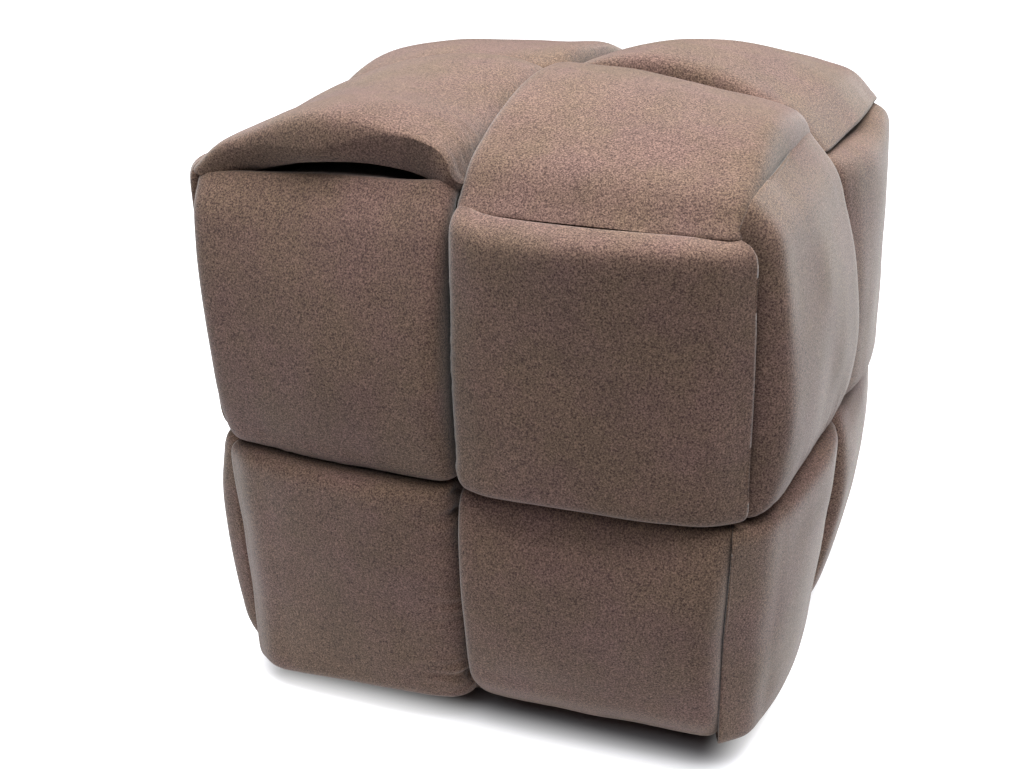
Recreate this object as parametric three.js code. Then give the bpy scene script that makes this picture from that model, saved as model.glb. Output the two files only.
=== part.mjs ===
// A cube-shaped pouf woven from six padded felt bands, in millimetres, +Z up, standing on Z = 0.
// Two bands run round the pouf in each of three directions. On every face a band passes over one
// band and under the next, so each face shows four pillows, and all six bands have the same course.
import * as THREE from "three";

// Driving sizes
const CREST = 205; // centre of the pouf to the surface of a band that passes over
const FLOOR = 198; // the same centre to the floor, where the lowest bands are pressed flat
const CROWN = 9; // rise of a pillow's middle above its ends
const OVER = 28; // thickness of a band's ends where it passes over
const UNDER = 14; // thickness where it is pressed under another band
const GAP = 1.6; // play between two layers
const WIDE = 188; // a band's edge on the side of the cube's edge, from the middle of its face
const BESIDE = 0.6; // its edge beside the neighbouring band, from the middle of its face
const PINCHED_WIDE = 150; // the same two edges where the band is pressed under another
const PINCHED_BESIDE = 17;
const SIDE_DOME = 17; // bulge of a whole side face in its middle
const TOP_DOME = 34; // bulge of the top face
const TAPER = 0.073; // the foot is narrower than the top by this share

// Heights of the layers above the centre of the pouf
const LOW_IN = CREST - OVER - UNDER;
const LOW_OUT = CREST - OVER - GAP / 2;
const HIGH_IN = CREST - OVER + GAP / 2;

// A band's cross-section: across is from -1 to 1 of its half width, and depth from 0, inside, to 1.
const TIP = 0.42; // depth of the edge's outermost line
const OUTSIDE_ACROSS = [-0.998, -0.965, -0.86, -0.6, 0, 0.6, 0.86, 0.965, 0.998];
const INSIDE_ACROSS = [0.975, 0.86, 0.45, 0, -0.45, -0.86, -0.975];

function outsideDepth(across) {
  return TIP + (1 - TIP) * Math.pow(1 - Math.pow(Math.abs(across), 4), 1 / 3);
}

function insideDepth(across) {
  return TIP * (1 - Math.pow(1 - Math.pow(Math.abs(across), 10), 1 / 2.5));
}

const SECTION = [
  ...OUTSIDE_ACROSS.map((across) => ({ across, depth: outsideDepth(across) })),
  ...INSIDE_ACROSS.map((across) => ({ across, depth: insideDepth(across) })),
];

// Where the band turns over the cube's edge, its surface is an arc about the corner of the layers.
const TURN = CREST - 46;
function turn(degrees, radius) {
  const angle = THREE.MathUtils.degToRad(degrees);
  return [-TURN - radius * Math.cos(angle), TURN + radius * Math.sin(angle)];
}

// The course of a band over a quarter of its way round, from under the last face's band, round the
// cube's edge, over this face's first half and down under the band across its middle.
// Each row is a section: its outer and inner point as [along, out] from the centre of the pouf,
// and its two edges across.
const COURSE = [
  { outer: [-LOW_OUT, 100], inner: [-LOW_IN, 100], wide: PINCHED_WIDE, beside: PINCHED_BESIDE },
  { outer: [-LOW_OUT, 166], inner: [-LOW_IN, 148], wide: PINCHED_WIDE, beside: PINCHED_BESIDE },
  { outer: [-178.0, 180.5], inner: [-162, 158], wide: 154, beside: 14 },
  { outer: [-182.0, 188.5], inner: [-160, 165], wide: 163, beside: 9 },
  { outer: [-188.0, 190.6], inner: [-158, 169.5], wide: 173, beside: 5 },
  { outer: turn(43, 47), inner: [-156, 173], wide: 183.5, beside: 3 },
  { outer: turn(54, 47.5), inner: [-153.5, 175.5], wide: 187, beside: 1.5 },
  { outer: turn(70, 49), inner: [-149, HIGH_IN], wide: WIDE, beside: BESIDE },
  { outer: [-150, 210], inner: [-140, HIGH_IN], wide: WIDE, beside: BESIDE },
  { outer: [-98, CREST + CROWN], inner: [-98, HIGH_IN], wide: WIDE, beside: BESIDE },
  { outer: [-44, 212.5], inner: [-50, HIGH_IN], wide: WIDE, beside: BESIDE },
  { outer: [-20, 209], inner: [-30, HIGH_IN], wide: 187.5, beside: 1 },
  { outer: [-7.5, 202], inner: [-22, 176.5], wide: 186, beside: 2.5 },
  { outer: [-2.8, 193], inner: [-17, 173.5], wide: 181, beside: 5 },
  { outer: [-1.6, 185], inner: [-13, 169], wide: 170, beside: 10 },
  { outer: [3.0, 178.8], inner: [-8, 165], wide: 158, beside: 14 },
  { outer: [12, LOW_OUT], inner: [2, LOW_IN], wide: PINCHED_WIDE, beside: PINCHED_BESIDE },
  { outer: [55, LOW_OUT], inner: [50, LOW_IN], wide: PINCHED_WIDE, beside: PINCHED_BESIDE },
];

// The bands are woven by hand and don't lie evenly: these places of the felt are pulled by a few
// millimetres, and the pull fades over its reach.
const PULL_REACH = 70;
const PULLS = [
  { place: "front lip of the top's left pillow", at: [-95, -190, 190], by: [4, 8, 16] },
  { place: "middle of the top's back right pillow", at: [95, 95, 200], by: [4, 2, 5] },
  { place: "middle of the top's right edge", at: [190, 0, 190], by: [-5, -1, -2] },
  { place: "middle of the front's right edge", at: [190, -190, 0], by: [3, -2, -4] },
  { place: "foot of the front's left pillow", at: [-95, -190, -190], by: [-3, 3, 7] },
  { place: "middle of the front's foot", at: [0, -190, -190], by: [-3, 3, 6] },
  { place: "foot of the front's right pillow", at: [95, -190, -190], by: [-1, 7, 10] },
  { place: "front right corner of the foot", at: [190, -190, -190], by: [4, 4, 4] },
  { place: "foot of the right side's front pillow", at: [190, -95, -190], by: [6, -2, -4] },
];

// The pouf's fullness moves every point a little: the faces bulge, the foot is narrower, the
// pulls are added, and the lowest pillows are pressed flat on the floor.
function fill(point) {
  const at = point.clone().divideScalar(CREST);
  const fall = (v) => 1 - v * v;
  const top = Math.max(at.z, 0);
  const taper = 1 - (TAPER * (1 - at.z)) / 2;
  const moved = new THREE.Vector3(
    (point.x + SIDE_DOME * at.x * fall(at.y) * fall(at.z)) * taper,
    (point.y + SIDE_DOME * at.y * fall(at.x) * fall(at.z)) * taper,
    point.z + TOP_DOME * top * fall(at.x) * fall(at.y),
  );
  for (const pull of PULLS) {
    const near = Math.exp(-point.distanceToSquared(new THREE.Vector3(...pull.at)) / PULL_REACH ** 2);
    moved.addScaledVector(new THREE.Vector3(...pull.by), near);
  }
  moved.z = Math.max(moved.z, -FLOOR);
  return moved;
}

// A band is the course's four quarters, with its section at every row, joined into a ring.
// face is the outward direction of the face that it starts on, and along the way it runs there.
function bandGeometry(face, along) {
  const across = new THREE.Vector3().crossVectors(face, along);
  const positions = [];
  let out = face.clone();
  let way = along.clone();
  for (let quarter = 0; quarter < 4; quarter++) {
    for (const row of COURSE) {
      for (const spot of SECTION) {
        const s = THREE.MathUtils.lerp(row.inner[0], row.outer[0], spot.depth);
        const n = THREE.MathUtils.lerp(row.inner[1], row.outer[1], spot.depth);
        const t = THREE.MathUtils.lerp(-row.wide, -row.beside, (1 + spot.across) / 2);
        const point = new THREE.Vector3()
          .addScaledVector(way, s)
          .addScaledVector(out, n)
          .addScaledVector(across, t);
        positions.push(...fill(point).toArray());
      }
    }
    [out, way] = [way.clone(), out.clone().negate()];
  }
  return ringGeometry(positions, 4 * COURSE.length, SECTION.length);
}

// Joins rings of points into one closed tube whose last ring meets its first.
function ringGeometry(positions, rings, around) {
  const index = [];
  for (let i = 0; i < rings; i++) {
    for (let j = 0; j < around; j++) {
      const a = i * around + j;
      const b = i * around + ((j + 1) % around);
      const c = ((i + 1) % rings) * around + j;
      const d = ((i + 1) % rings) * around + ((j + 1) % around);
      index.push(a, c, b, b, c, d);
    }
  }
  const geometry = new THREE.BufferGeometry();
  geometry.setAttribute("position", new THREE.Float32BufferAttribute(positions, 3));
  geometry.setIndex(index);
  geometry.computeVertexNormals();
  return geometry;
}

const X = new THREE.Vector3(1, 0, 0);
const Y = new THREE.Vector3(0, 1, 0);
const Z = new THREE.Vector3(0, 0, 1);

// Each band with the face that its course starts on and the way it runs there
const BANDS = [
  { name: "band_front", face: Z, along: X },
  { name: "band_back", face: Z, along: X.clone().negate() },
  { name: "band_right", face: Z, along: Y },
  { name: "band_left", face: Z, along: Y.clone().negate() },
  { name: "band_upper", face: Y.clone().negate(), along: X.clone().negate() },
  { name: "band_lower", face: Y.clone().negate(), along: X },
];

const felt = new THREE.MeshStandardMaterial({ color: 0x75665b, roughness: 0.95, metalness: 0 });

const pouf = new THREE.Group();
for (const band of BANDS) {
  const mesh = new THREE.Mesh(bandGeometry(band.face, band.along), felt.clone());
  mesh.name = band.name;
  pouf.add(mesh);
}

// Stands on Z = 0 with the middle of its bounds over the origin
pouf.position.z = FLOOR;
const bounds = new THREE.Box3().setFromObject(pouf);
pouf.position.x -= (bounds.min.x + bounds.max.x) / 2;
pouf.position.y -= (bounds.min.y + bounds.max.y) / 2;

export default pouf;
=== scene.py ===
"""The looks of a cube-shaped pouf woven from six padded bands of felt.

Two bands run round the pouf in each of three directions. On every face a band passes over one band
and under the next, so each face shows four pillows. All six bands have the same course, and the
same section is carried along it. Sizes are in metres, +Z is up and the pouf stands on Z = 0.
"""

import math
from typing import NamedTuple

import bpy
import numpy as np
from bpy.props import FloatProperty, FloatVectorProperty, PointerProperty
from mathutils import Matrix, Vector


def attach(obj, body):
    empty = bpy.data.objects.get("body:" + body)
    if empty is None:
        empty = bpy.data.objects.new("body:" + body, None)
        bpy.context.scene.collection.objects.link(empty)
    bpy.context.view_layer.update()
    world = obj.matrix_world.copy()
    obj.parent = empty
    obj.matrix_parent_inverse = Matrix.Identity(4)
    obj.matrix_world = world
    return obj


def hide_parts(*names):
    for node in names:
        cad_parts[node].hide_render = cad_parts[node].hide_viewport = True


bl_info = {
    "name": "Woven felt pouf",
    "version": (1, 0, 0),
    "blender": (4, 5, 0),
    "location": "View3D > Sidebar > Pouf",
    "description": "Makes the padded felt bands of a cube-shaped woven pouf and a plain studio",
    "category": "Object",
}

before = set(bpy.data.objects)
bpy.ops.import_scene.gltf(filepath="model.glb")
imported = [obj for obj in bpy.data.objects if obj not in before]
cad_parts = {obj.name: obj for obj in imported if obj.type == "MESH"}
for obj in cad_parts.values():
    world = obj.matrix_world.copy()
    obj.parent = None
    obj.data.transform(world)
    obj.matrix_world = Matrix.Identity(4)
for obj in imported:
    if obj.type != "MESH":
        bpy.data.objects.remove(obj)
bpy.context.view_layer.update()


def linear(hex_colour):
    """The linear red, green and blue of an sRGB hex colour such as #75665b."""
    values = [int(hex_colour[i : i + 2], 16) / 255 for i in (1, 3, 5)]
    return tuple(v / 12.92 if v <= 0.04045 else ((v + 0.055) / 1.055) ** 2.4 for v in values)


def length(name, description, default):
    """A size in metres that a user can change."""
    return FloatProperty(name=name, description=description, default=default, unit="LENGTH", precision=4)


def share(name, description, default):
    """A plain number that a user can change."""
    return FloatProperty(name=name, description=description, default=default, precision=3)


def colour(name, description, hex_colour):
    """A colour that a user can change."""
    return FloatVectorProperty(
        name=name, description=description, default=linear(hex_colour), subtype="COLOR", min=0, max=1
    )


class PoufShape(bpy.types.PropertyGroup):
    """Sizes of the weave and of its bands."""

    crest: length("Crest", "Centre of the pouf to the surface of a band that passes over", 0.205)
    floor: length("Floor", "Centre of the pouf to the floor, where the lowest bands lie flat", 0.198)
    crown: length("Crown", "Rise of a pillow's middle above its ends", 0.009)
    over: length("Over", "Thickness of a band's ends where it passes over", 0.028)
    under: length("Under", "Thickness of a band where it is pressed under another", 0.014)
    play: length("Play", "Play between two layers", 0.0016)
    wide: length("Wide edge", "Band's edge near the cube's edge, from the middle of its face", 0.188)
    beside: length("Inner edge", "Band's edge beside its neighbour, from the middle of its face", 0.0006)
    pinched_wide: length("Pinched wide edge", "Wide edge where the band is pressed", 0.150)
    pinched_beside: length("Pinched inner edge", "Inner edge where the band is pressed", 0.017)
    side_dome: length("Side dome", "Bulge of a whole side face in its middle", 0.017)
    top_dome: length("Top dome", "Bulge of the top face in its middle", 0.034)
    pull_reach: length("Pull reach", "Distance over which a local pull of the felt fades", 0.070)
    taper: share("Taper", "Share by which the foot is narrower than the top", 0.073)
    tip: share("Edge height", "Height of the edge's outermost line as a share of the thickness", 0.42)


class FeltLook(bpy.types.PropertyGroup):
    """Surface of the felt: its mesh, its unevenness and its colours."""

    grain: length("Mesh grain", "Distance between the mesh's points where the band shows", 0.0022)
    swell: length("Swell", "Depth of the broad unevenness of the padding", 0.0013)
    gather: length("Gather", "Depth of the folds where a band is squeezed in under another", 0.0012)
    gather_reach: length("Gather reach", "Length of those folds", 0.040)
    waver: length("Waver", "Sideways unevenness of the bands' edges", 0.0008)
    fleck: length("Fleck", "Size of the felt's mottled flecks of wool", 0.0011)
    fibre: length("Fibre", "Width of the lighter fibres on the felt's surface", 0.0007)
    fuzz: share("Fuzz", "How much light the felt's fuzz scatters at the rims", 0.27)
    base: colour("Base", "Most of the wool", "#57453c")
    dark: colour("Dark wool", "Darkest flecks", "#332521")
    light: colour("Light wool", "Lightest flecks", "#786154")


class StageLook(bpy.types.PropertyGroup):
    """Camera, floor and lights."""

    lens: length("Lens", "Focal length on a 36 mm sensor", 0.0522)
    azimuth: share("Azimuth", "Degrees that the camera is turned round the pouf", 22.85)
    elevation: share("Elevation", "Degrees that the camera looks down", 23.21)
    roll: share("Roll", "Degrees that the camera leans", -1.44)
    eye: FloatVectorProperty(
        name="Eye", description="Place of the camera", default=(0.3824, -0.9989, 0.6481), unit="LENGTH"
    )
    # The floor's glow is painted light: the floor glows, though it is no lamp. Foot and shade place the
    # painted shadow near the foot, where the glow is missing; front edge and front fade end the glow on the
    # camera's side.
    foot: length("Foot", "From the pouf's middle to where the floor starts to glow", 0.158)
    shade: length("Shade", "Width of the shadow before the floor glows fully", 0.050)
    front_edge: length("Front edge", "From the pouf's middle to where the floor's glow ends in front", 0.25)
    front_fade: length("Front fade", "Width over which the floor's glow ends in front", 0.2)
    floor_side: length("Floor side", "Side of the square floor", 14.0)
    sky: share("Sky", "Strength of the light from all round", 0.02)
    overhead: share("Overhead", "Watts of the large light above the pouf", 190.0)
    front: share("Front light", "Watts of the light above and in front", 23.0)
    right: share("Right light", "Watts of the light above and on the right", 17.0)
    left: share("Left light", "Watts of the light above and on the left", 2.0)
    floor: colour("Floor", "The floor's pale paper", "#a8a8ae")


# Places where the hand-woven felt is pulled off its even course: the point, counted from the
# pouf's centre, and the pull there.
PULLS = {
    "front lip of the top's left pillow": ((-0.095, -0.190, 0.190), (0.004, 0.008, 0.012)),
    "middle of the top's back right pillow": ((0.095, 0.095, 0.200), (0.004, 0.002, 0.005)),
    "middle of the top's right edge": ((0.190, 0.000, 0.190), (-0.005, -0.001, -0.002)),
    "middle of the top's back left pillow": ((-0.040, 0.080, 0.200), (0.000, 0.000, -0.007)),
    "left edge of the top's back left pillow": ((-0.150, 0.080, 0.200), (0.003, 0.000, 0.002)),
    "middle of the front's lower seam": ((0.000, -0.190, -0.095), (0.003, 0.000, 0.000)),
    "back right corner of the top": ((0.170, 0.150, 0.200), (0.002, 0.001, 0.003)),
    "back of the right side": ((0.200, 0.110, 0.020), (0.001, 0.000, 0.000)),
    "front left corner of the foot": ((-0.190, -0.190, -0.190), (-0.002, -0.002, 0.002)),
    "middle of the front's right edge": ((0.190, -0.190, 0.000), (0.003, -0.002, -0.004)),
    "foot of the front's left pillow": ((-0.095, -0.190, -0.190), (-0.003, 0.003, 0.009)),
    "middle of the front's foot": ((0.000, -0.190, -0.190), (-0.003, 0.003, 0.006)),
    "foot of the front's right pillow": ((0.095, -0.190, -0.190), (-0.001, 0.005, 0.006)),
    "front right corner of the foot": ((0.190, -0.190, -0.190), (0.002, 0.004, 0.008)),
    "foot of the right side's front pillow": ((0.190, -0.095, -0.190), (0.001, -0.001, 0.002)),
}

X, Y, Z = np.eye(3)


class Pillow(NamedTuple):
    """How one pillow lies, where it differs from an even weave."""

    gather: float = 0.4  # how strongly its end is puckered where it goes in under the next band
    tuck: float = 0.4  # how far its start lies back under the band that it comes out from
    drop: float = 0.0  # by how many metres its start sits lower than the others
    rises: tuple = (0.0, 0.0)  # metres that the outer and inner corner of its start stand higher
    sink: float = 0.2  # how far its end is pressed down before it goes in under the next band
    # At its start, middle and end:
    lips: tuple = (0.003, 0.003, 0.003)  # metres that its edge at the cube's edge stands out
    droops: tuple = (0.0, 0.0, 0.0)  # how far that edge hangs down, as a share of its thickness
    wings: tuple = (0.0, 0.0, 0.0)  # metres that the band stands higher towards that edge


# Each band with the outward direction of the face that its course starts on, the way it runs there,
# and its four pillows in turn.
BANDS = {
    "band_front": (Z, X, (
        Pillow(
            tuck=0.1, drop=0.003, lips=(0.003, 0.012, 0.004), droops=(-0.35, 0.12, -0.60),
            wings=(0.003, 0.013, 0.010),
        ),
        Pillow(gather=1.2, tuck=-0.40, drop=0.003, lips=(-0.003, -0.003, -0.003)),
        Pillow(lips=(-0.020, -0.028, -0.028)),
        Pillow(sink=0.9, lips=(0.000, 0.001, 0.001)),
    )),
    "band_back": (Z, -X, (
        Pillow(tuck=-0.04, drop=0.006, sink=0.3, lips=(0.004, 0.004, 0.004)),
        Pillow(),
        Pillow(lips=(-0.015, -0.015, -0.015)),
        Pillow(lips=(0.005, 0.005, 0.005)),
    )),
    "band_right": (Z, Y, (
        Pillow(
            tuck=0.0, drop=0.010, sink=0.0, lips=(-0.003, -0.004, 0.000),
            wings=(0.001, 0.007, 0.008),
        ),
        Pillow(),
        Pillow(lips=(-0.020, -0.020, -0.020)),
        Pillow(sink=0.8, lips=(0.000, 0.000, 0.000)),
    )),
    "band_left": (Z, -Y, (
        Pillow(sink=0.3, lips=(0.000, 0.000, 0.000)),
        Pillow(
            tuck=0.54, drop=0.006, rises=(0.0115, 0.016), sink=0.7, lips=(0.000, -0.003, -0.002)
        ),
        Pillow(tuck=1.0, lips=(-0.015, -0.015, -0.015)),
        Pillow(),
    )),
    "band_upper": (-Y, -X, (
        Pillow(
            tuck=-0.08, sink=0.0, lips=(-0.006, 0.000, -0.005), wings=(0.002, 0.013, 0.004)
        ),
        Pillow(lips=(0.008, 0.002, 0.002)),
        Pillow(),
        Pillow(tuck=0.2, lips=(-0.005, -0.010, -0.006)),
    )),
    "band_lower": (-Y, X, (
        Pillow(gather=2.2, tuck=0.2, sink=0.0, lips=(0.003, 0.002, 0.001), wings=(0.004, 0.004, 0.004)),
        Pillow(tuck=-0.25, lips=(0.003, 0.003, 0.003)),
        Pillow(),
        Pillow(),
    )),
}


def smooth(t):
    """The curve 3t^2 - 2t^3 from 0 to 1, level before and after."""
    t = np.clip(t, 0, 1)
    return t * t * (3 - 2 * t)


def course(shape, pillow):
    """Sections of a band over a quarter of its way, from under the last face's band, round the
    cube's edge, over this face's first half and down under the band across its middle.

    A row is the outer line's distance along and out, the inner line's, how far the band's two edges
    lie from the middle of the face, the wide edge's droop and wing, and the outer and inner
    corner's rise.
    """
    low_in = shape.crest - shape.over - shape.under
    low_out = shape.crest - shape.over - shape.play / 2
    high_in = shape.crest - shape.over + shape.play / 2
    top = shape.crest + shape.crown
    full = (shape.wide, shape.beside)
    pinched = (shape.pinched_wide, shape.pinched_beside)

    # The outer line when the start isn't tucked in, and when it is
    plain = [
        (-0.1775, 0.1785), (-0.1810, 0.1865), (-0.1880, 0.1906), (-0.1934, 0.1910),
        (-0.1869, 0.1974), (-0.1758, 0.2050), (-0.1500, 0.2100),
    ]
    tucked = [
        (-0.1765, 0.1770), (-0.1760, 0.1860), (-0.1740, 0.1930), (-0.1700, 0.1990),
        (-0.1630, 0.2045), (-0.1520, 0.2085), (-0.1350, 0.2115),
    ]
    first = (1 - pillow.tuck) * np.array(plain) + pillow.tuck * np.array(tucked)
    first[:, 1] -= pillow.drop * np.array((1, 1, 1, 1, 0.9, 0.6, 0.25))

    # The outer line when the end isn't pressed down, and when it is
    upright = [
        (-0.0440, 0.2130), (-0.0200, 0.2095), (-0.0080, 0.2045), (-0.0030, 0.1980),
        (-0.0012, 0.1900), (0.0008, 0.1825), (0.0060, 0.1775),
    ]
    pressed = [
        (-0.0440, 0.2100), (-0.0200, 0.2025), (-0.0080, 0.1985), (-0.0030, 0.1960),
        (-0.0006, 0.1915), (0.0008, 0.1860), (0.0055, 0.1785),
    ]
    last = (1 - pillow.sink) * np.array(upright) + pillow.sink * np.array(pressed)

    rows = np.array([
        (-low_out, 0.100, -low_in, 0.100, *pinched),
        (-low_out, 0.160, -low_in, 0.148, *pinched),
        (*first[0], -0.162, 0.158, 0.164, 0.010),
        (*first[1], -0.160, 0.165, 0.182, 0.002),
        (*first[2], -0.158, 0.1695, 0.1875, 0.0007),
        (*first[3], -0.156, 0.173, *full),
        (*first[4], -0.1535, 0.1755, *full),
        (*first[5], -0.149, high_in, *full),
        (*first[6], -0.140, high_in, *full),
        (-0.098, top, -0.098, high_in, *full),
        (*last[0], -0.050, high_in, *full),
        (*last[1], -0.030, high_in, *full),
        (*last[2], -0.022, 0.1765, *full),
        (*last[3], -0.017, 0.1735, *full),
        (*last[4], -0.013, 0.169, 0.187, 0.0010),
        (*last[5], -0.008, 0.165, 0.180, 0.0060),
        (*last[6], -0.003, 0.1635, 0.162, 0.0130),
        (0.016, low_out, 0.008, low_in, *pinched),
        (0.055, low_out, 0.050, low_in, *pinched),
        (0.080, low_out, 0.080, low_in, *pinched),
    ])
    share = smooth((rows[:, 0] + 0.190) / 0.190)
    shown = np.clip((rows[:, 4] - shape.pinched_wide) / (shape.wide - shape.pinched_wide), 0, 1)
    rows[:, 4] += shown * np.interp(share, (0, 0.5, 1), pillow.lips)
    droop = np.interp(share, (0, 0.5, 1), pillow.droops)
    wing = shown * np.interp(share, (0, 0.5, 1), pillow.wings)
    near_start = shown * smooth((-0.100 - rows[:, 0]) / 0.070)
    return np.column_stack([rows, droop, wing, np.outer(near_start, pillow.rises)])


QUARTER = 0.5  # metres between the starts of two quarters in the noises' places
SEEDS = {"waver": 900, "broad": 10, "fine": 40, "folds": 70, "puckers": 100, "patches": 130}
NOISE_CELLS = 128  # random heights along each side of the noise before it repeats
DENSE = 4000  # readings along a quarter from which its even rows are taken
EDGE_POWER = 1.5  # how closely a wing or a rise keeps to the band's edge
FIRST_SHOWN = 3  # rows of the course between which the band shows
LAST_SHOWN = 16
HIDDEN_GRAIN = 6  # times coarser mesh where a band is hidden


def quarter_turned(rows, way):
    """Rows of the next quarter (way 1) or the last one (way -1), as this quarter counts them."""
    turned = rows.copy()
    for along, out in ((0, 1), (2, 3)):
        turned[:, along], turned[:, out] = way * rows[:, out], -way * rows[:, along]
    return turned


def through(knots, rows, places):
    """A curve through the rows at the knots, read at the places: between two rows, the cubic whose
    slope at each row is the slope of the chord between that row's neighbours."""
    slopes = np.gradient(rows, knots, axis=0)
    i = np.clip(np.searchsorted(knots, places, side="right") - 1, 0, len(knots) - 2)
    step = (knots[i + 1] - knots[i])[:, None]
    t = ((places - knots[i]) / step[:, 0])[:, None]
    return (
        (2 * t**3 - 3 * t**2 + 1) * rows[i]
        + (t**3 - 2 * t**2 + t) * step * slopes[i]
        + (3 * t**2 - 2 * t**3) * rows[i + 1]
        + (t**3 - t**2) * step * slopes[i + 1]
    )


def evenly(weights, count=None):
    """Fractional places in a list of weights that share their sum evenly."""
    total = np.concatenate([[0], np.cumsum(weights)])
    count = count or max(int(math.ceil(total[-1])), 8)
    return np.interp(np.arange(count) * total[-1] / count, total, np.arange(len(total)))


def fine_course(shape, pillow, grain):
    """The course as closely spaced rows, with the distance of each from the start of its quarter,
    and from where the band goes under, negative before it."""
    rows = course(shape, pillow)
    around = np.concatenate([quarter_turned(rows[-3:], -1), rows, quarter_turned(rows[:2], 1)])
    chords = np.linalg.norm(np.diff(around[:, :2], axis=0), axis=1)
    knots = np.concatenate([[0], np.cumsum(chords)])
    first, last = knots[3], knots[3 + len(rows)]
    dense = np.linspace(first, last, DENSE)
    shown = (dense > knots[3 + FIRST_SHOWN]) & (dense < knots[3 + LAST_SHOWN])
    weights = np.diff(dense) / grain / np.where(shown[:-1], 1, HIDDEN_GRAIN)
    places = np.interp(evenly(weights), np.arange(len(dense)), dense)
    return through(knots, around, places), places - first, places - knots[3 + LAST_SHOWN]


def section(shape, grain):
    """The band's cross-section as closely spaced points: across from -1, the wide edge, to 1, and
    two factors a and b, so that the depth from 0, inside, to 1, outside, is a + b * tip.

    Outside, depth is tip + (1 - tip) * (1 - across^20)^(1/2.6). Inside it is
    tip * (1 - (1 - across^10)^(1/2.5)), so both sides meet in a round edge at the height of tip.
    """
    sweep = np.linspace(-1, 1, 3001)
    across = np.sin(sweep * math.pi / 2) * (1 - 1e-7)
    outside = (1 - across**20) ** (1 / 2.6)
    inside = 1 - (1 - across**10) ** (1 / 2.5)
    across = np.concatenate([across, across[::-1][1:-1]])
    plain = np.concatenate([outside, 0 * inside[1:-1]])
    by_tip = np.concatenate([1 - outside, inside[::-1][1:-1]])
    half_width = (shape.wide - shape.beside) / 2
    ring = np.stack([across * half_width, (plain + by_tip * shape.tip) * shape.over], axis=-1)
    steps = np.linalg.norm(np.roll(ring, -1, axis=0) - ring, axis=1)
    hidden = np.arange(len(across)) >= len(sweep)
    places = evenly(steps / grain / np.where(hidden, HIDDEN_GRAIN, 1))
    whole = np.arange(len(across) + 1)

    def read(values):
        """Values at the evenly spaced places."""
        return np.interp(places, whole, np.append(values, values[0]))

    return read(across), read(plain), read(by_tip)


def soft_noise(x, y, seed):
    """Noise from -1 to 1: random heights at whole x and y, joined by the curve 3t^2 - 2t^3."""
    heights = np.random.default_rng(seed).uniform(-1, 1, (NOISE_CELLS, NOISE_CELLS))
    i, j = np.floor(x).astype(int), np.floor(y).astype(int)
    u, v = x - i, y - j
    u, v = smooth(u), smooth(v)
    here, beyond = (i % NOISE_CELLS, (i + 1) % NOISE_CELLS)
    low, high = (j % NOISE_CELLS, (j + 1) % NOISE_CELLS)
    near = heights[here, low] * (1 - u) + heights[beyond, low] * u
    far = heights[here, high] * (1 - u) + heights[beyond, high] * u
    return near * (1 - v) + far * v


def filled(shape, points):
    """The pouf's fullness moves every point a little: the faces bulge, the foot is narrower and the pulls
    are added. band_surface then presses the lowest pillows flat on the floor.

    A face's bulge is its dome * (1 - a^2) * (1 - b^2), with a and b the place on the face as shares
    of crest. A pull fades as exp(-(distance / reach)^2).
    """
    at = points / shape.crest
    fall = 1 - at**2
    top = np.maximum(at[..., 2], 0)
    taper = 1 - shape.taper * (1 - at[..., 2]) / 2
    moved = np.stack([
        (points[..., 0] + shape.side_dome * at[..., 0] * fall[..., 1] * fall[..., 2]) * taper,
        (points[..., 1] + shape.side_dome * at[..., 1] * fall[..., 0] * fall[..., 2]) * taper,
        points[..., 2] + shape.top_dome * top * fall[..., 0] * fall[..., 1],
    ], axis=-1)
    for place, pull in PULLS.values():
        distance2 = np.sum((points - place) ** 2, axis=-1)
        moved += np.exp(-distance2 / shape.pull_reach**2)[..., None] * pull
    return moved


def normals(grid):
    """Unit normals of a grid of points that is closed both ways."""
    along = np.roll(grid, -1, axis=0) - np.roll(grid, 1, axis=0)
    round_ = np.roll(grid, -1, axis=1) - np.roll(grid, 1, axis=1)
    normal = np.cross(round_, along)
    return normal / np.maximum(np.linalg.norm(normal, axis=-1, keepdims=True), 1e-12)


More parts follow.
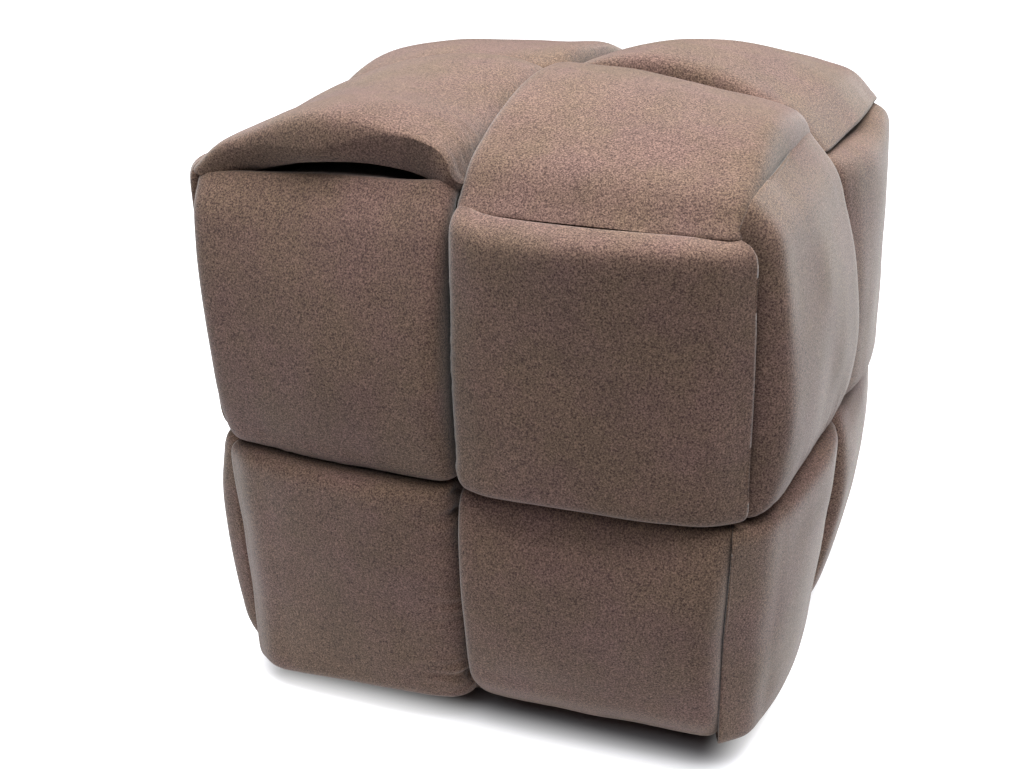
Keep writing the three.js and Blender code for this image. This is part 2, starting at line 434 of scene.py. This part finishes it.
def band_surface(shape, felt, name, number):
    """A band's points as a closed grid, along it and round its section, and its UV places in metres.

    The section is carried along the course's four quarters. Each point then moves along the normal
    by the padding's broad swell and by the gathers where the band is squeezed in under another.
    """
    face, way, pillows = BANDS[name]
    across, plain, by_tip = section(shape, felt.grain)
    side = np.cross(face, way)
    half_width = (shape.wide - shape.beside) / 2
    quarters, distances, ends, gathers = [], [], [], []
    for quarter, pillow in enumerate(pillows):
        rows, start, end = fine_course(shape, pillow, felt.grain)
        seed = SEEDS["waver"] + number
        waver = soft_noise(quarter * 10.0 + start / 0.05, 0 * start + 0.5, seed) * felt.waver
        wide, beside = rows[:, 4] + waver, rows[:, 5] - np.abs(waver) * 0.3
        tip = shape.tip - rows[:, 6:7] * (across < 0)
        depth = plain + by_tip * tip
        along = rows[:, 2:3] + (rows[:, 0:1] - rows[:, 2:3]) * depth
        along -= rows[:, 8:9] * np.clip(-across, 0, 1) ** EDGE_POWER
        along -= rows[:, 9:10] * np.clip(across, 0, 1) ** EDGE_POWER
        out = rows[:, 3:4] + (rows[:, 1:2] - rows[:, 3:4]) * depth
        out += rows[:, 7:8] * np.clip(-across, 0, 1) ** EDGE_POWER
        edge = -wide[:, None] + (wide - beside)[:, None] * (1 + across) / 2
        quarters.append(along[..., None] * way + out[..., None] * face + edge[..., None] * side)
        distances.append(start + quarter * QUARTER)
        ends.append(end)
        gathers.append(0 * end + pillow.gather)
        face, way = way, -face
    points = filled(shape, np.concatenate(quarters))

    distance = np.concatenate(distances)[:, None]
    to_end = np.concatenate(ends)[:, None]
    strength = np.concatenate(gathers)[:, None]
    place = across[None, :] * half_width + 0 * distance
    outer = np.clip(plain, 0, 1)[None, :]
    swell = soft_noise(distance / 0.075, place / 0.06, SEEDS["broad"] + number)
    swell += 0.5 * soft_noise(distance / 0.034, place / 0.03, SEEDS["fine"] + number)
    slanting = place / 0.0052 + distance / 0.06
    folds = soft_noise(slanting, distance / 0.034, SEEDS["folds"] + number)
    folds += 0.6 * soft_noise(place / 0.0031, distance / 0.022, SEEDS["puckers"] + number)
    fade = np.exp(-((np.minimum(to_end, 0) / felt.gather_reach) ** 2))
    patchy = soft_noise(place / 0.035, distance / 0.05, SEEDS["patches"] + number)
    patches = np.clip(0.55 + patchy, 0, 1.4)
    push = outer * (swell * felt.swell + folds * fade * patches * strength * felt.gather)
    points = points + push[..., None] * normals(points)
    points[..., 2] = np.maximum(points[..., 2], -shape.floor) + shape.floor
    return points, distance, place


def make_mesh(name, points, u, v):
    """A mesh of quads over a grid of points that is closed both ways, with a UV map in metres."""
    rings, around = points.shape[:2]
    i, j = np.meshgrid(np.arange(rings), np.arange(around), indexing="ij")
    a, b = i * around + j, i * around + (j + 1) % around
    c, d = (i + 1) % rings * around + (j + 1) % around, (i + 1) % rings * around + j
    quads = np.stack([a, d, c, b], axis=-1).reshape(-1, 4)
    mesh = bpy.data.meshes.new(name)
    mesh.from_pydata(points.reshape(-1, 3), [], quads)
    u_wide = np.broadcast_to(u, (rings, around))
    v_wide = np.broadcast_to(v, (rings, around))
    uv = np.stack([u_wide.reshape(-1)[quads], v_wide.reshape(-1)[quads]], axis=-1)
    mesh.uv_layers.new(name="band").data.foreach_set("uv", uv.reshape(-1).astype(np.float32))
    mesh.polygons.foreach_set("use_smooth", np.ones(len(quads), bool))
    mesh.update()
    return mesh


def add_node(tree, kind, sockets, **settings):
    """Adds a shader node with its own settings. Sockets gives an input's name or number and what
    goes in there: a value or another node's output."""
    node = tree.nodes.new("ShaderNode" + kind)
    for key, value in settings.items():
        setattr(node, key, value)
    for key, value in sockets.items():
        if isinstance(value, bpy.types.NodeSocket):
            tree.links.new(value, node.inputs[key])
        else:
            node.inputs[key].default_value = value
    return node


def wool_felt(look):
    """Melange wool felt, fulled and pressed. Fibres dyed in several browns were mixed before
    felting, which gives the eye a fine mottle of dark and light flecks with no weave, a soft matt
    face, and a pale rim of fuzz where it is seen at a slant."""
    material = bpy.data.materials.new("melange_wool_felt")
    material.use_nodes = True
    tree = material.node_tree
    tree.nodes.clear()
    place = add_node(tree, "TexCoord", {}).outputs["Object"]
    warp = add_node(tree, "TexNoise", {"Vector": place, "Scale": 0.25 / look.fleck, "Detail": 2.0})
    bend = {0: warp.outputs["Color"], 1: (0.0016, 0.0016, 0.0016), 2: place}
    bent = add_node(tree, "VectorMath", bend, operation="MULTIPLY_ADD").outputs[0]

    # Flecks of wool, about as large as the felt's own mottle
    noise = {"Vector": bent, "Scale": 1 / look.fleck, "Detail": 2.0, "Roughness": 0.7}
    fleck = add_node(tree, "TexNoise", noise).outputs["Fac"]
    tone = add_node(tree, "ValToRGB", {"Fac": fleck})
    ramp = tone.color_ramp
    ramp.elements[0].position = 0.34
    ramp.elements[0].color = (*look.dark, 1)
    ramp.elements[1].position = 0.68
    ramp.elements[1].color = (*look.light, 1)
    middle = ramp.elements.new(0.50)
    middle.color = (*look.base, 1)

    # Pale fibres that lie on the surface
    cells = {"Vector": bent, "Scale": 0.22 / look.fibre}
    thin = add_node(tree, "TexVoronoi", cells, feature="DISTANCE_TO_EDGE").outputs["Distance"]
    near = {"Value": thin, "From Min": 0.0, "From Max": 0.06, "To Min": 1.0, "To Max": 0.0}
    fibre = add_node(tree, "MapRange", near).outputs["Result"]
    tufts = add_node(tree, "TexNoise", {"Vector": place, "Scale": 0.25 / look.fibre, "Detail": 1.0})
    some = {"Value": tufts.outputs["Fac"], "From Min": 0.5, "From Max": 0.62}
    chance = add_node(tree, "MapRange", some).outputs["Result"]
    seen = add_node(tree, "Math", {0: fibre, 1: chance}, operation="MULTIPLY").outputs[0]
    faint = add_node(tree, "Math", {0: seen, 1: 0.5}, operation="MULTIPLY").outputs[0]
    blend = {0: faint, 6: tone.outputs["Color"], 7: (*look.light, 1)}
    mixed = add_node(tree, "Mix", blend, data_type="RGBA").outputs[2]

    # The dye drifts over a hand's breadth: a little lighter and darker, and from olive to plum
    wander = {"Vector": place, "Scale": 16.0, "Detail": 5.0, "Roughness": 0.65}
    drift = add_node(tree, "TexNoise", wander)
    spread = {"Value": drift.outputs["Fac"], "From Min": 0.3, "From Max": 0.7, "To Min": 0.9, "To Max": 1.1}
    level = add_node(tree, "MapRange", spread).outputs["Result"]
    hue = add_node(tree, "ValToRGB", {"Fac": drift.outputs["Color"]})
    hue.color_ramp.elements[0].position = 0.42
    hue.color_ramp.elements[0].color = (0.985, 1.02, 0.96, 1)
    hue.color_ramp.elements[1].position = 0.60
    hue.color_ramp.elements[1].color = (1.01, 0.975, 1.07, 1)
    tinted = add_node(tree, "VectorMath", {0: mixed, 1: hue.outputs["Color"]}, operation="MULTIPLY")
    evened = {0: tinted.outputs[0], "Scale": level}
    toned = add_node(tree, "VectorMath", evened, operation="SCALE").outputs[0]

    height = add_node(tree, "Math", {0: fibre, 1: 0.5, 2: fleck}, operation="MULTIPLY_ADD").outputs[0]
    bump = add_node(tree, "Bump", {"Strength": 0.3, "Distance": 0.0004, "Height": height})
    cloth = {
        "Base Color": toned,
        "Roughness": 0.95,
        "IOR": 1.45,
        "Specular IOR Level": 0.12,
        "Sheen Weight": look.fuzz,
        "Sheen Roughness": 0.45,
        "Sheen Tint": (0.93, 0.94, 0.92, 1),
        "Normal": bump.outputs["Normal"],
    }
    shader = add_node(tree, "BsdfPrincipled", cloth)
    add_node(tree, "OutputMaterial", {"Surface": shader.outputs[0]})
    return material


def paper_with_painted_glow(look):
    """Seamless studio paper: matt and smooth, with painted light. It glows from below, though it is no
    lamp, so that the main view sees plain white. Its glow fades out near the foot, which paints the soft
    shadow there. The glow ends on the camera's side of the pouf, along a line laid out from the camera's
    azimuth, so that it doesn't light the fronts. That side of the floor is dark in views from the side and
    from behind."""
    material = bpy.data.materials.new("pale_studio_paper")
    material.use_nodes = True
    tree = material.node_tree
    tree.nodes.clear()
    place = add_node(tree, "TexCoord", {}).outputs["Object"]
    size = add_node(tree, "VectorMath", {0: place}, operation="ABSOLUTE").outputs[0]
    foot = {0: size, 1: (look.foot, look.foot, 0)}
    past = add_node(tree, "VectorMath", foot, operation="SUBTRACT").outputs[0]
    out = add_node(tree, "VectorMath", {0: past, 1: (0, 0, 0)}, operation="MAXIMUM").outputs[0]
    away = add_node(tree, "VectorMath", {0: out}, operation="LENGTH").outputs["Value"]
    # Painted shadow near the foot: the glow is nothing at the foot and full a shade's width past it
    rise = {"Value": away, "From Min": 0.0, "From Max": look.shade}
    risen = add_node(tree, "MapRange", rise, interpolation_type="SMOOTHSTEP").outputs["Result"]
    # The painted glow ends in front, on a line set by the camera's azimuth
    forward = (math.sin(math.radians(look.azimuth)), -math.cos(math.radians(look.azimuth)), 0)
    onward = {0: place, 1: forward}
    ahead = add_node(tree, "VectorMath", onward, operation="DOT_PRODUCT").outputs["Value"]
    ends = {
        "Value": ahead,
        "From Min": look.front_edge,
        "From Max": look.front_edge + look.front_fade,
        "To Min": 1,
        "To Max": 0,
    }
    lit = add_node(tree, "MapRange", ends, interpolation_type="SMOOTHSTEP").outputs["Result"]
    glow = add_node(tree, "Math", {0: risen, 1: lit}, operation="MULTIPLY").outputs[0]
    paper = {
        "Base Color": (*look.floor, 1),
        "Roughness": 0.9,
        "Specular IOR Level": 0.1,
        # Painted light: the paper glows, though it is no lamp
        "Emission Color": (1, 1, 1, 1),
        "Emission Strength": glow,
    }
    shader = add_node(tree, "BsdfPrincipled", paper)
    add_node(tree, "OutputMaterial", {"Surface": shader.outputs[0]})
    return material


class POUF_OT_bands(bpy.types.Operator):
    """Make the six padded felt bands"""

    bl_idname = "pouf.bands"
    bl_label = "Felt bands"

    def execute(self, context):
        shape, felt = context.scene.pouf_shape, context.scene.pouf_felt
        material = wool_felt(felt)
        surfaces = {n: band_surface(shape, felt, n, i) for i, n in enumerate(BANDS)}
        every = np.concatenate([points.reshape(-1, 3) for points, u, v in surfaces.values()])
        centre = (every.min(axis=0) + every.max(axis=0)) / 2 * (1, 1, 0)
        for name, (points, u, v) in surfaces.items():
            mesh = make_mesh("felt_" + name, points - centre, u, v)
            mesh.materials.append(material)
            band = bpy.data.objects.new("felt_" + name, mesh)
            context.scene.collection.objects.link(band)
            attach(band, "root")
            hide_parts(name)
        return {"FINISHED"}


def aimed(place, target):
    """The matrix of a light at a place that shines at a target."""
    place, target = Vector(place), Vector(target)
    return Matrix.LocRotScale(place, (target - place).to_track_quat("-Z", "Y"), None)


# Each soft square light with its place and side. Its watts are StageLook's value of that name.
LIGHTS = {
    "overhead": ((0.0, 0.2, 2.3), 2.6),
    "front": ((0.2, -1.3, 2.0), 1.6),
    "right": ((1.2, 0.0, 2.0), 1.6),
    "left": ((-1.2, 0.2, 2.0), 1.6),
}
LIT_PLACE = (0, 0, 0.2)  # the middle of the pouf, where all of them point


def add_light(name, watts, place, side):
    """A soft square light that points at the pouf."""
    light = bpy.data.lights.new(name, "AREA")
    light.shape = "SQUARE"
    light.size = side
    light.energy = watts
    holder = bpy.data.objects.new(name, light)
    holder.matrix_world = aimed(place, LIT_PLACE)
    bpy.context.scene.collection.objects.link(holder)


class POUF_OT_stage(bpy.types.Operator):
    """Make the floor, the lights and the camera"""

    bl_idname = "pouf.stage"
    bl_label = "Studio"

    def execute(self, context):
        look = context.scene.pouf_stage
        half = look.floor_side / 2
        mesh = bpy.data.meshes.new("floor")
        corners = [(-half, -half, 0), (half, -half, 0), (half, half, 0), (-half, half, 0)]
        mesh.from_pydata(corners, [], [(0, 1, 2, 3)])
        mesh.materials.append(paper_with_painted_glow(look))
        floor = bpy.data.objects.new("floor", mesh)
        context.scene.collection.objects.link(floor)

        world = bpy.data.worlds.new("soft_room")
        world.use_nodes = True
        sky = world.node_tree.nodes["Background"]
        sky.inputs["Color"].default_value = (1, 1, 1, 1)
        sky.inputs["Strength"].default_value = look.sky
        context.scene.world = world
        for name, (place, side) in LIGHTS.items():
            add_light(name, getattr(look, name), place, side)
        context.scene.view_settings.view_transform = "Standard"

        azimuth, elevation, roll = (math.radians(v) for v in (look.azimuth, look.elevation, look.roll))
        back = Vector((
            math.sin(azimuth) * math.cos(elevation),
            -math.cos(azimuth) * math.cos(elevation),
            math.sin(elevation),
        ))
        level = Vector((0, 0, 1)).cross(back).normalized()
        tall = back.cross(level)
        right = level * math.cos(roll) + tall * math.sin(roll)
        up = tall * math.cos(roll) - level * math.sin(roll)
        camera = bpy.data.cameras.new("camera")
        camera.sensor_width, camera.lens = 36, look.lens * 1000
        holder = bpy.data.objects.new("camera", camera)
        turn = Matrix((right, up, back)).transposed()
        holder.matrix_world = Matrix.Translation(look.eye) @ turn.to_4x4()
        context.scene.collection.objects.link(holder)
        context.scene.camera = holder
        return {"FINISHED"}


class POUF_PT_panel(bpy.types.Panel):
    """The pouf's sizes, looks and buttons"""

    bl_idname = "POUF_PT_panel"
    bl_label = "Woven felt pouf"
    bl_space_type = "VIEW_3D"
    bl_region_type = "UI"
    bl_category = "Pouf"

    def draw(self, context):
        scene = context.scene
        groups = (
            (scene.pouf_shape, "pouf.bands"),
            (scene.pouf_felt, None),
            (scene.pouf_stage, "pouf.stage"),
        )
        for group, operator in groups:
            box = self.layout.box()
            for name in group.__annotations__:
                box.prop(group, name)
            if operator:
                box.operator(operator)


CLASSES = (PoufShape, FeltLook, StageLook, POUF_OT_bands, POUF_OT_stage, POUF_PT_panel)


def register():
    for cls in CLASSES:
        bpy.utils.register_class(cls)
    bpy.types.Scene.pouf_shape = PointerProperty(type=PoufShape)
    bpy.types.Scene.pouf_felt = PointerProperty(type=FeltLook)
    bpy.types.Scene.pouf_stage = PointerProperty(type=StageLook)


def unregister():
    del bpy.types.Scene.pouf_stage
    del bpy.types.Scene.pouf_felt
    del bpy.types.Scene.pouf_shape
    for cls in reversed(CLASSES):
        bpy.utils.unregister_class(cls)


def main():
    register()
    bpy.ops.pouf.bands()
    bpy.ops.pouf.stage()


if __name__ == "__main__":
    main()
